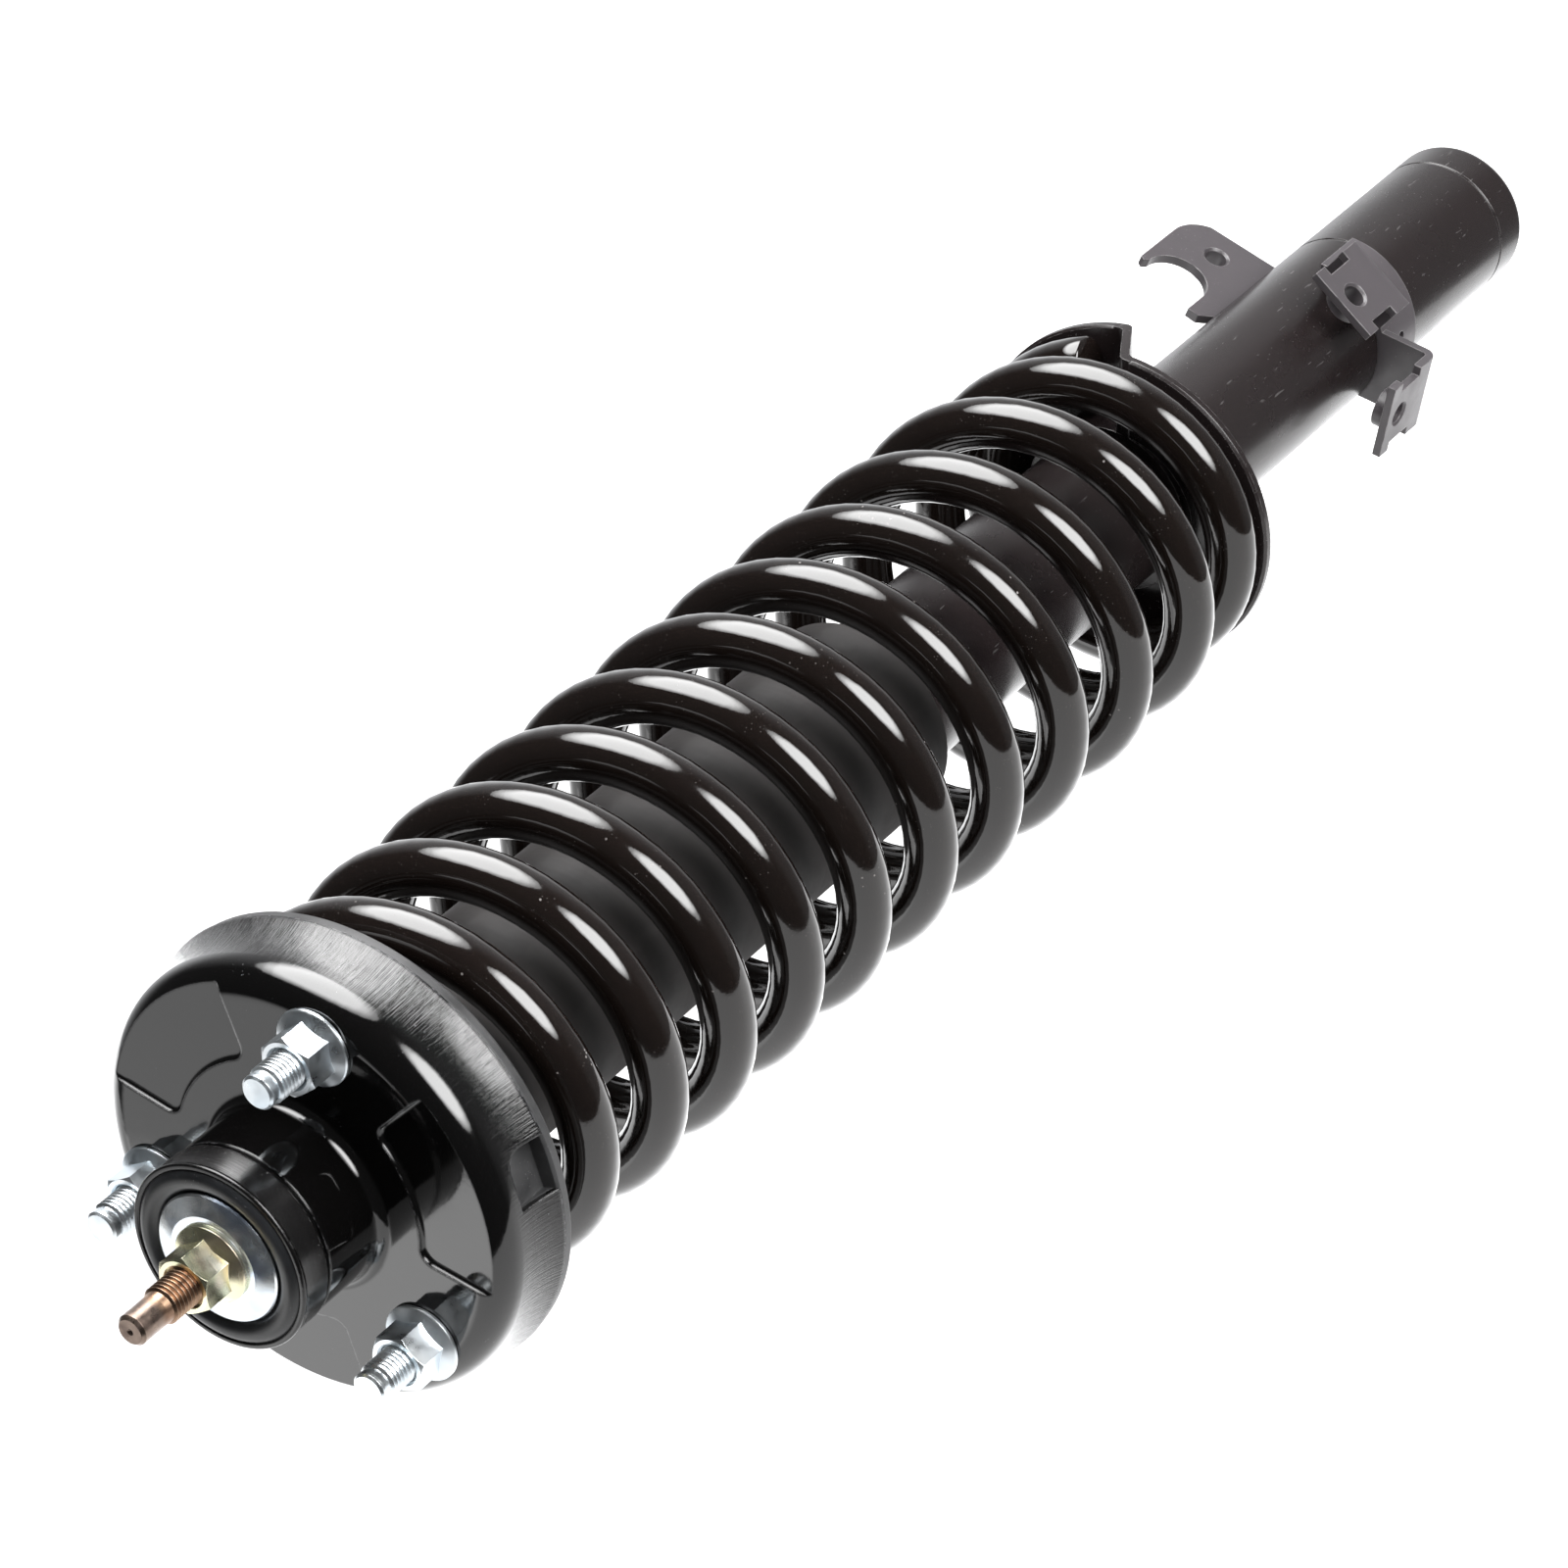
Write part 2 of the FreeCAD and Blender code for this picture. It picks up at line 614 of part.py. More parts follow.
def rebound_stop():
    top_z = TUBE_TOP_Z - TUBE_WALL - SEAL_T - GUIDE_FLANGE_T - GUIDE_SPIGOT_T - STOP_GAP
    return lathe([
        (ROD_R, top_z - REBOUND_STOP_T),
        (REBOUND_STOP_R - 1.5, top_z - REBOUND_STOP_T),
        (REBOUND_STOP_R, top_z - REBOUND_STOP_T + 1.5),
        (REBOUND_STOP_R, top_z - 1.5),
        (REBOUND_STOP_R - 1.5, top_z),
        (ROD_R, top_z),
    ])


def piston():
    """Sintered piston with a groove for its band and six oil passages."""
    low = PISTON_TOP_Z - PISTON_T
    band_low = low + (PISTON_T - BAND_T) / 2
    groove_r = PISTON_R - BAND_DEPTH
    body = lathe([
        (ROD_LOWER_THREAD_R, low),
        (PISTON_R, low),
        (PISTON_R, band_low),
        (groove_r, band_low),
        (groove_r, band_low + BAND_T),
        (PISTON_R, band_low + BAND_T),
        (PISTON_R, PISTON_TOP_Z),
        (ROD_LOWER_THREAD_R, PISTON_TOP_Z),
    ])
    passages = 6
    passage_r = 1.6
    passage_circle_r = 10.2
    for index in range(passages):
        centre = polar(passage_circle_r, index * 360 / passages)
        body = body.cut(cylinder(passage_r, low - 1, PISTON_TOP_Z + 1, centre.x, centre.y))
    return body


def piston_band():
    low = PISTON_TOP_Z - PISTON_T + (PISTON_T - BAND_T) / 2
    bore_r = CYLINDER_R - CYLINDER_WALL
    return ring(PISTON_R - BAND_DEPTH, bore_r - RUNNING_GAP, low, low + BAND_T)


def valve_discs():
    """Stack of thin spring-steel discs under the piston, each smaller than the one above."""
    discs = []
    top = PISTON_TOP_Z - PISTON_T
    for index in range(DISC_COUNT):
        outer = DISC_R - DISC_SHRINK * index
        disc = ring(ROD_LOWER_THREAD_R, outer, top - (index + 1) * DISC_T, top - index * DISC_T)
        discs.append(disc)
    return Part.makeCompound(discs)


def piston_nut():
    top = PISTON_TOP_Z - PISTON_T - DISC_COUNT * DISC_T
    low = top - PISTON_NUT_HEIGHT
    corners = [polar(PISTON_NUT_CORNER_R, 60 * index, low) for index in range(7)]
    block = Part.Face(Part.makePolygon(corners)).extrude(V(0, 0, PISTON_NUT_HEIGHT))
    return block.cut(cylinder(ROD_LOWER_THREAD_R + THREAD_PLAY, low - 1, top + 1))


def rod_guide():
    """Bearing for the rod: flange in the outer tube, spigot in the inner cylinder."""
    top = TUBE_TOP_Z - TUBE_WALL - SEAL_T
    middle = top - GUIDE_FLANGE_T
    low = middle - GUIDE_SPIGOT_T
    inner = ROD_R + RUNNING_GAP
    bore_r = CYLINDER_R - CYLINDER_WALL
    return lathe([
        (inner, low), (bore_r, low), (bore_r, middle), (TUBE_R - TUBE_WALL, middle),
        (TUBE_R - TUBE_WALL, top), (inner, top),
    ])


def oil_seal():
    """Rubber seal ring with an upper and a lower lip on the rod."""
    top = TUBE_TOP_Z - TUBE_WALL
    low = top - SEAL_T
    lip_r = ROD_R + RUNNING_GAP
    relief_r = ROD_R + 1.6
    lip_t = 1.2
    relief_at = 3.2
    return lathe([
        (lip_r, low), (TUBE_R - TUBE_WALL, low), (TUBE_R - TUBE_WALL, top), (lip_r, top),
        (lip_r, top - lip_t), (relief_r, top - relief_at), (relief_r, low + relief_at),
        (lip_r, low + lip_t),
    ])


def inner_cylinder():
    top = TUBE_TOP_Z - TUBE_WALL - SEAL_T - GUIDE_FLANGE_T
    return ring(CYLINDER_R - CYLINDER_WALL, CYLINDER_R, BASE_VALVE_TOP_Z, top)


def base_valve():
    """Foot valve closing the inner cylinder, with slots at its foot for the oil."""
    low = BASE_VALVE_TOP_Z - BASE_VALVE_HEIGHT
    bore_r = CYLINDER_R - CYLINDER_WALL
    spigot_top = BASE_VALVE_TOP_Z + 4.0
    rivet_r = 3.0
    rivet_top = BASE_VALVE_TOP_Z + 6.5
    body = lathe([
        (0, low), (CYLINDER_R, low), (CYLINDER_R, BASE_VALVE_TOP_Z), (bore_r, BASE_VALVE_TOP_Z),
        (bore_r, spigot_top), (rivet_r, spigot_top), (rivet_r, rivet_top), (0, rivet_top),
    ])
    slots = 4
    slot_width = 5.0
    slot_depth = 2.5
    slot_inner_r = 6.0
    for index in range(slots):
        slot = Part.makeBox(CYLINDER_R, slot_width, slot_depth + 1,
                            V(slot_inner_r, -slot_width / 2, low - 1))
        body = body.cut(turned_to(slot, index * 360 / slots))
    return body


def damper_tube():
    """Outer tube, turned in over the oil seal at the top."""
    inner = TUBE_R - TUBE_WALL
    rolled_r = 2.5
    line_r = TUBE_R - CLAMP_LINE_DEPTH
    corner = on_arc(TUBE_R - rolled_r, TUBE_TOP_Z - rolled_r, rolled_r, 45)
    return lathe([
        (TUBE_LIP_R, TUBE_TOP_Z),
        (TUBE_R - rolled_r, TUBE_TOP_Z),
        corner + (TUBE_R, TUBE_TOP_Z - rolled_r),
        (TUBE_R, CLAMP_LINE_Z),
        (line_r, CLAMP_LINE_Z),
        (line_r, CLAMP_LINE_Z - CLAMP_LINE_WIDTH),
        (TUBE_R, CLAMP_LINE_Z - CLAMP_LINE_WIDTH),
        (TUBE_R, TUBE_SEAM_Z + SEAM_CHAMFER),
        (TUBE_R - SEAM_CHAMFER, TUBE_SEAM_Z),
        (inner, TUBE_SEAM_Z),
        (inner, TUBE_TOP_Z - TUBE_WALL),
        (TUBE_LIP_R, TUBE_TOP_Z - TUBE_WALL),
    ])


def bottom_cap():
    """Welded end cap with a rounded edge and a spigot inside the tube."""
    inner = TUBE_R - TUBE_WALL
    spigot_top = BASE_VALVE_TOP_Z - BASE_VALVE_HEIGHT
    edge_r = 3.0
    dish_z = TUBE_END_Z + 2.0
    dish_floor_r = 12.0
    dish_r = 15.0
    corner = on_arc(TUBE_R - edge_r, TUBE_END_Z + edge_r, edge_r, -45)
    return lathe([
        (0, dish_z),
        (dish_floor_r, dish_z),
        (dish_r, TUBE_END_Z),
        (TUBE_R - edge_r, TUBE_END_Z),
        corner + (TUBE_R, TUBE_END_Z + edge_r),
        (TUBE_R, TUBE_SEAM_Z - SEAM_CHAMFER),
        (TUBE_R - SEAM_CHAMFER, TUBE_SEAM_Z),
        (inner, TUBE_SEAM_Z),
        (inner, spigot_top),
        (0, spigot_top),
    ])


def seat_ramp_z(azimuth):
    """Height of the seat under the wire: the closed pitch, fixed by the end of the wire."""
    turn = (SPRING_START_AZ - azimuth) / 360
    while turn < LAST_TURN - 1:
        turn += 1
    return wire_centre(LAST_TURN).z - WIRE_R - SEAT_GAP + CLOSED_PITCH * (LAST_TURN - turn)


def seat_step(low_z, high_z, inner):
    """Slanted step of the seat: a plate with two bends, cut to the width of the ramp."""
    half = 4.0
    flat = 1.5
    bend_r = 2.5
    slope = math.atan((high_z - low_z) / (2 * half))
    tangent = bend_r * math.tan(slope / 2)
    along_y = tangent * math.cos(slope)
    along_z = tangent * math.sin(slope)
    mid_y = bend_r * math.sin(slope / 2)
    mid_z = bend_r * (1 - math.cos(slope / 2))
    top_bend = (-half - tangent + mid_y, high_z - mid_z, -half + along_y, high_z - along_z)
    low_bend = (half + tangent - mid_y, low_z + mid_z, half + tangent, low_z)
    sunk = SEAT_T * math.tan(slope / 2)
    top_bend_under = (-half - tangent + mid_y - sunk, high_z - mid_z - SEAT_T,
                      -half - tangent - sunk, high_z - SEAT_T)
    low_bend_under = (half + tangent - mid_y - sunk, low_z + mid_z - SEAT_T,
                      half - along_y - sunk, low_z + along_z - SEAT_T)
    profile = outline(
        [(-half - tangent - flat, high_z), (-half - tangent, high_z), top_bend,
         (half - along_y, low_z + along_z), low_bend,
         (half + tangent + flat, low_z), (half + tangent + flat, low_z - SEAT_T),
         (half + tangent - sunk, low_z - SEAT_T), low_bend_under,
         (-half + along_y - sunk, high_z - along_z - SEAT_T), top_bend_under,
         (-half - tangent - flat, high_z - SEAT_T)],
        lambda across, z: V(TUBE_R - 5, across, z))
    plate = Part.Face(profile).extrude(V(SEAT_R, 0, 0))
    plate = plate.common(ring(inner, SEAT_R, low_z - 2 * SEAT_T, high_z + 1))
    return turned_to(plate, SEAT_STEP_AZ)


def lower_spring_seat():
    """Pressed seat: helical ramp under the last coil, slanted step at its end, hub on the tube."""
    start_az = SEAT_STEP_AZ - SEAT_STEP_HALF
    sweep_angle = 360 - 2 * SEAT_STEP_HALF
    drop = CLOSED_PITCH * sweep_angle / 360
    start_z = seat_ramp_z(start_az)
    low_z = start_z - drop
    inner = SEAT_HUB_R - 1.0
    middle_r = (SEAT_R + SEAT_HUB_R) / 2
    edge = 0.7
    steps = 24
    rim_points = []
    for index in range(steps + 1):
        share = index / steps
        rim_points.append(polar(middle_r, start_az - share * sweep_angle, start_z - share * drop))
    line = Part.BSplineCurve()
    line.interpolate(rim_points)
    section = outline(
        [(inner, start_z), (SEAT_R - edge, start_z), (SEAT_R, start_z - edge),
         (SEAT_R, start_z - SEAT_T), (inner, start_z - SEAT_T)],
        lambda radius, z: polar(radius, start_az, z))
    pipe = Part.BRepOffsetAPI.MakePipeShell(Part.Wire([line.toShape()]))
    pipe.setBiNormalMode(UP)
    pipe.add(section)
    pipe.build()
    pipe.makeSolid()
    hub = ring(TUBE_R, SEAT_HUB_R, SEAT_HUB_BOTTOM_Z, start_z)
    bead = lathe([(SEAT_HUB_R, SEAT_HUB_BOTTOM_Z), (TUBE_R, SEAT_HUB_BOTTOM_Z - 2.5),
                  (TUBE_R, SEAT_HUB_BOTTOM_Z)])
    seat = pipe.shape().fuse(seat_step(low_z, start_z, inner)).fuse(hub).fuse(bead)
    drain = polar(SEAT_DRAIN_AT_R, SEAT_DRAIN_AZ)
    seat = seat.cut(cylinder(SEAT_DRAIN_R, low_z - 10, start_z + 1, drain.x, drain.y))
    return seat.removeSplitter()


def tapped_bore(length):
    """Cutting shape for a bracket hole along +X from X = 0, with a countersunk mouth."""
    mouth = 0.7
    tool = lathe([
        (0, -1), (TAPPED_R + mouth, -1), (TAPPED_R + mouth, 0), (TAPPED_R, mouth),
        (TAPPED_R, length + 1), (0, length + 1),
    ])
    tool.rotate(ORIGIN, V(0, 1, 0), 90)
    return tool


def hose_hook():
    """Flat plate with a U-shaped mouth, drawn in its own plane and stood on the tube."""
    top_out = 53.0
    mouth_top = HOOK_MOUTH_OUT + HOOK_MOUTH_R
    arm_top = HOOK_MOUTH_OUT - HOOK_MOUTH_R
    arm_bottom = 27.0
    mouth_z = HOOK_MOUTH_Z
    tip_z = mouth_z + 0.7
    arm_tip_z = mouth_z + 8.5
    weld_top_z = mouth_z + 1.0
    foot_out = 20.0
    far_z = -508.0
    shoulder_z = -495.0
    corner_out = 46.0
    corner_z = -506.0
    corner_mid = (50.6, -502.2)
    mouth_back = mouth_z - HOOK_MOUTH_R
    edge = outline(
        [(foot_out, weld_top_z), (arm_bottom, arm_tip_z), (arm_top, arm_tip_z),
         (arm_top, mouth_z), (HOOK_MOUTH_OUT, mouth_back, mouth_top, mouth_z),
         (mouth_top + 1.2, tip_z + 1.0), (top_out, tip_z), (top_out, shoulder_z),
         corner_mid + (corner_out, corner_z), (foot_out, far_z)],
        lambda out, z: V(out, -HOOK_T / 2, z))
    plate = Part.Face(edge).extrude(V(0, HOOK_T, 0))
    boss = Part.makeCylinder(BOSS_R, BOSS_LENGTH, V(HOOK_HOLE_OUT, HOOK_T / 2, HOOK_HOLE_Z), V(0, 1, 0))
    bore = tapped_bore(HOOK_T + BOSS_LENGTH)
    bore.rotate(ORIGIN, UP, 90)
    bore.translate(V(HOOK_HOLE_OUT, -HOOK_T / 2, HOOK_HOLE_Z))
    plate = plate.fuse(boss).cut(bore)
    plate = turned_to(plate, HOOK_AZ)
    return plate.cut(cylinder(TUBE_R, far_z - 5, arm_tip_z + 5)).removeSplitter()


def tab_arm(azimuth, outside):
    """Arm from the tube, bent through a right angle into a tab, as one folded strip."""
    inside = outside - TAB_T
    flange_low = FLANGE_TOP_Z - SADDLE_T
    outer_bend = TAB_BEND_R + TAB_T
    bend_out = inside - TAB_BEND_R
    bend_z = FLANGE_TOP_Z + TAB_BEND_R
    outer_mid = on_arc(bend_out, bend_z, outer_bend, -45)
    inner_mid = on_arc(bend_out, bend_z, TAB_BEND_R, -45)
    foot_out = 18.0
    section = outline(
        [(foot_out, flange_low), (bend_out, flange_low), outer_mid + (outside, bend_z),
         (outside, TAB_END_Z), (inside, TAB_END_Z), (inside, bend_z),
         inner_mid + (bend_out, FLANGE_TOP_Z), (foot_out, FLANGE_TOP_Z)],
        lambda out, z: V(out, -TAB_WIDTH / 2, z))
    arm = Part.Face(section).extrude(V(0, TAB_WIDTH, 0))
    for side in (-1, 1):
        middle_y = side * (TAB_WIDTH - NOTCH_DEPTH) / 2
        notch = Part.makeBox(TAB_T + 2, NOTCH_DEPTH, NOTCH_TOP_Z - NOTCH_BOTTOM_Z,
                             V(inside - 1, middle_y - NOTCH_DEPTH / 2, NOTCH_BOTTOM_Z))
        arm = arm.cut(notch)
    boss = Part.makeCylinder(BOSS_R, BOSS_LENGTH, V(inside, 0, TAB_HOLE_Z), V(-1, 0, 0))
    bore = tapped_bore(TAB_T + BOSS_LENGTH)
    bore.rotate(ORIGIN, UP, 180)
    bore.translate(V(outside, 0, TAB_HOLE_Z))
    return turned_to(arm.fuse(boss).cut(bore), azimuth)


def cable_bracket():
    """Saddle welded round the tube with two arms that carry the threaded tabs."""
    middle_az = 187.0
    half_angle = 58.0
    hole_r = 1.6
    hole_az = 166.0
    hole_z = -502.5
    saddle = sector(TUBE_R - 1, TUBE_R + SADDLE_T, SADDLE_END_Z, FLANGE_TOP_Z, middle_az, half_angle)
    locating_hole = Part.makeCylinder(hole_r, 10, polar(TUBE_R - 2, hole_az, hole_z), polar(1.0, hole_az))
    bracket = saddle.cut(locating_hole)
    for azimuth, outside in zip(TAB_AZ, TAB_OUT):
        bracket = bracket.fuse(tab_arm(azimuth, outside))
    return bracket.cut(cylinder(TUBE_R, SADDLE_END_Z - 5, TAB_END_Z + 5)).removeSplitter()


def save(shape, node):
    shape.exportStep("parts/" + node + ".step")


save(mount_base(), "mount_base")
save(mount_studs(), "mount_studs")
save(mount_nuts(), "mount_nuts")
save(bush_housing(), "bush_housing")
save(upper_rubber(), "bush_upper_rubber")
save(lower_rubber(), "bush_lower_rubber")
save(bush_collar(), "bush_collar")
save(top_washer(), "top_washer")
save(rod_nut(), "rod_nut")
save(plate_washer(), "plate_washer")
save(piston_rod(), "piston_rod")
save(spring_insulator(), "spring_insulator")
save(dust_cover(), "dust_cover")
save(bump_stop(), "bump_stop")
save(round_wire(wire_corners(FIRST_TURN, LAST_TURN), WIRE_R), "coil_spring")
save(rebound_stop(), "rebound_stop")
save(piston(), "piston")
save(piston_band(), "piston_band")
save(valve_discs(), "piston_valve_discs")
save(piston_nut(), "piston_nut")
save(rod_guide(), "rod_guide")
save(oil_seal(), "oil_seal")
save(inner_cylinder(), "inner_cylinder")
save(base_valve(), "base_valve")
save(damper_tube(), "damper_tube")
save(bottom_cap(), "bottom_cap")
save(lower_spring_seat(), "lower_spring_seat")
save(hose_hook(), "hose_hook")
save(cable_bracket(), "cable_bracket")
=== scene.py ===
import math

import bmesh
import bpy
from mathutils import Matrix, Vector


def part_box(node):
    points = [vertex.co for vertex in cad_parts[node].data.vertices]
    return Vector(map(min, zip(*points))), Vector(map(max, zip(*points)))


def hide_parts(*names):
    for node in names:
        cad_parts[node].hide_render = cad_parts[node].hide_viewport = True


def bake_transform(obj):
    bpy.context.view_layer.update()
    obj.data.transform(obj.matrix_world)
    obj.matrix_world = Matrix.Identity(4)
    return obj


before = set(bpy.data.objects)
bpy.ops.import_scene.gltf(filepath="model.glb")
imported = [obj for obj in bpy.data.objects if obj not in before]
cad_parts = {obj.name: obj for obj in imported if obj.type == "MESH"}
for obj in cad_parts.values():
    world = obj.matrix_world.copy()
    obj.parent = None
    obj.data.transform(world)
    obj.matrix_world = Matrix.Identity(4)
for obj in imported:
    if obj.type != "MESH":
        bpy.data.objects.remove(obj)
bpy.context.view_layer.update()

# Coil-over strut, in metres and in the row frame: +Z runs up the strut axis, and Z = 0 is the face
# of the top mount. Colours are linear RGB. Noise and cell scales are features per metre.

# Winding of the coil spring, by the same law as the CAD solid. Turn numbers grow downwards, and
# turn 0 is at START_AZ and START_Z. The pitch is CLOSED_PITCH in the end turns.
WIRE_R = 0.00715
MEAN_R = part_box("coil_spring")[1].x - WIRE_R
START_AZ = 120.0
START_Z = -0.056
FIRST_TURN = -1.65
LAST_TURN = 10.595
PITCH_AT_START = 0.029
PITCH_GROWTH = 0.00064
CLOSED_PITCH = 0.016
TOP_CLOSE_TURN = -0.75
LOW_CLOSE_TURN = 9.65
CLOSE_BLEND = 0.4
LAST_COIL_SHRINK = 0.0052
SHRINK_START = 8.5
SHRINK_TURNS = 1.8
WIRE_END_CHAMFER = 0.0006
RINGS_PER_TURN = 56
RING_SIDES = 32

# Bands of the pressed mount and the rod that have a finish of their own.
SKIRT_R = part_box("mount_base")[1].x
SKIRT_INNER_FADE = (SKIRT_R - 0.0035, SKIRT_R - 0.0020)
SKIRT_TOP_FADE_Z = (-0.0060, -0.0105)
TINTED_ROD_FADE_Z = (-0.014, -0.012)
ROD_TIP_FADE_Z = (0.0535, 0.0560)

# Floor, studio and camera.
FLOOR_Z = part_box("bottom_cap")[0].z - 0.0005
FLOOR_SIZE = 60.0
WHITE = (1.0, 1.0, 1.0, 1.0)
FLOOR_COLOUR = (0.88, 0.88, 0.88, 1.0)
FLOOR_OWN_LIGHT = 0.8
SOFTBOX_RIM_SHARE = 0.25
STUDIO_COLOUR = (0.97, 0.98, 1.0, 1.0)
BACKDROP_COLOUR = (0.93, 0.93, 0.935, 1.0)
SENSOR_MM = 36.0
LENS_MM = 127.1
CAMERA_PLACE = Vector((-0.9015, -0.5263, 0.7959))
CAMERA_RIGHT = Vector((-0.783, 0.290, -0.551))
CAMERA_BACK = Vector((-0.623, -0.364, 0.693))

# Name, height on the strut axis that the lamp is set out from, its azimuth and elevation from
# there in degrees, distance, width, height, brightness and the share of its edge that is soft.
SOFTBOXES = (
    ("near_softbox", -0.22, 206, 8, 2.0, 1.65, 1.75, 14.0, 0.4),
    ("side_softbox", -0.22, 271, -3, 2.0, 2.2, 2.7, 13.0, 0.4),
    ("table_glow", -0.31, 75, 0, 0.16, 1.05, 1.04, 1.35, 0.0),
    ("backdrop_glow", -0.22, 28, 44, 2.4, 1.7, 1.3, 1.25, 0.6),
)

# Glows of the studio that reflections see: below the strut, beyond it from the camera, and low at
# its side. The last two are set for the main view. Each has a direction, the cosines off it where
# the glow starts and is full, and its strength there.
STUDIO_GLOWS = (
    ((0.0, 0.0, -1.0), 0.15, 0.60, 0.055, 0.20),
    ((0.623, 0.364, -0.693), 0.45, 0.95, 0.0, 0.85),
    ((0.36, -0.62, -0.695), 0.60, 0.97, 0.0, 0.50),
)


# ---------------------------------------------------------------- node helpers

class Graph:
    """Short calls for building a node tree. Any value may be a number, a tuple or a socket."""

    def __init__(self, tree):
        self.nodes = tree.nodes
        self.links = tree.links

    def put(self, socket, value):
        if isinstance(value, bpy.types.NodeSocket):
            self.links.new(value, socket)
        else:
            socket.default_value = value

    def maths(self, operation, a, b=0.0):
        node = self.nodes.new("ShaderNodeMath")
        node.operation = operation
        self.put(node.inputs[0], a)
        self.put(node.inputs[1], b)
        return node.outputs[0]

    def plus(self, a, b):
        return self.maths("ADD", a, b)

    def times(self, a, b):
        return self.maths("MULTIPLY", a, b)

    def most(self, a, b):
        return self.maths("MAXIMUM", a, b)

    def vector_maths(self, operation, a, b=None):
        """A vector, or a number for a dot product or a distance."""
        node = self.nodes.new("ShaderNodeVectorMath")
        node.operation = operation
        self.put(node.inputs[0], a)
        if b is not None:
            self.put(node.inputs[1], b)
        return node.outputs["Value" if operation in ("DOT_PRODUCT", "DISTANCE") else "Vector"]

    def span(self, value, low, high, out_low=0.0, out_high=1.0):
        """Maps low..high to out_low..out_high, clamped and smoothed."""
        node = self.nodes.new("ShaderNodeMapRange")
        node.interpolation_type = "SMOOTHSTEP"
        for socket, number in zip(node.inputs, (value, low, high, out_low, out_high)):
            self.put(socket, number)
        return node.outputs["Result"]


class Finish(Graph):
    """A material being built: the patterns and wear that the finishes below share."""

    def __init__(self, name):
        self.material = bpy.data.materials.new(name)
        self.material.use_nodes = True
        super().__init__(self.material.node_tree)
        self.shader = self.nodes["Principled BSDF"]
        self.place = self.nodes.new("ShaderNodeTexCoord").outputs["Object"]

    def set(self, **values):
        """Sets inputs of the shader, named with _ for each space."""
        for name, value in values.items():
            self.put(self.shader.inputs[name.replace("_", " ")], value)
        return self

    def blend(self, share, first, second):
        """Colour between two colours."""
        node = self.nodes.new("ShaderNodeMix")
        node.data_type = "RGBA"
        self.put(node.inputs["Factor"], share)
        for name, value in (("A", first), ("B", second)):
            socket = [s for s in node.inputs if s.name == name and s.type == "RGBA"][0]
            if not isinstance(value, bpy.types.NodeSocket):
                value = (*value, 1.0)
            self.put(socket, value)
        return [s for s in node.outputs if s.type == "RGBA"][0]

    def stretched(self, x, y, z):
        return self.vector_maths("MULTIPLY", self.place, (x, y, z))

    def part(self, axis):
        node = self.nodes.new("ShaderNodeSeparateXYZ")
        self.put(node.inputs[0], self.place)
        return node.outputs[axis]

    def radius(self):
        """Distance from the strut axis."""
        x, y = self.part("X"), self.part("Y")
        return self.maths("SQRT", self.plus(self.times(x, x), self.times(y, y)))

    def ring_place(self):
        """Place that only varies with distance from the strut axis."""
        joined = self.nodes.new("ShaderNodeCombineXYZ")
        self.put(joined.inputs[0], self.radius())
        return joined.outputs[0]

    def around(self, z_scale):
        """Direction round the strut axis with a little height: streaks along Z come from it."""
        direction_out = self.vector_maths("NORMALIZE", self.stretched(1.0, 1.0, 0.0))
        return self.vector_maths("ADD", direction_out, self.stretched(0.0, 0.0, z_scale))

    def noise(self, scale, detail=3.0, place=None):
        node = self.nodes.new("ShaderNodeTexNoise")
        node.inputs["Scale"].default_value = scale
        node.inputs["Detail"].default_value = detail
        node.inputs["Roughness"].default_value = 0.55
        self.put(node.inputs["Vector"], place or self.place)
        return node.outputs["Fac"]

    def clouded(self, pattern, low, high):
        """A value that drifts from low to high with a noise pattern."""
        return self.span(pattern, 0.3, 0.7, low, high)

    def specks(self, scale, rim, core, patch_scale, patch_low, patch_high):
        """Specks round scattered points, solid within core and gone past rim, both in spacings of
        the points. They lie in patches, where a broad noise is above patch_low to patch_high."""
        node = self.nodes.new("ShaderNodeTexVoronoi")
        node.inputs["Scale"].default_value = scale
        self.put(node.inputs["Vector"], self.place)
        spots = self.span(node.outputs["Distance"], rim, core)
        return self.times(spots, self.span(self.noise(patch_scale), patch_low, patch_high))

    def round_edges(self, radius):
        """Normal that rounds sharp edges to a radius."""
        node = self.nodes.new("ShaderNodeBevel")
        node.samples = 6
        node.inputs["Radius"].default_value = radius
        return node.outputs[0]

    def edge_mask(self, radius):
        """1 on sharp edges: where the rounded normal leaves the true one."""
        true_normal = self.nodes.new("ShaderNodeNewGeometry").outputs["Normal"]
        likeness = self.vector_maths("DOT_PRODUCT", self.round_edges(radius), true_normal)
        return self.span(likeness, 0.995, 0.90)

    def rubbed_edges(self, radius, scale, low, high):
        """Sharp edges, broken up by a noise that counts from low to high."""
        return self.times(self.edge_mask(radius), self.span(self.noise(scale, 2.0), low, high))

    def relief(self, height, depth, normal=None):
        """Bump of the given depth in metres for a height of 0 to 1, over another normal."""
        node = self.nodes.new("ShaderNodeBump")
        node.inputs["Strength"].default_value = 1.0
        node.inputs["Distance"].default_value = depth
        self.put(node.inputs["Height"], height)
        if normal is not None:
            self.put(node.inputs["Normal"], normal)
        return node.outputs[0]


# ---------------------------------------------------------------- finishes

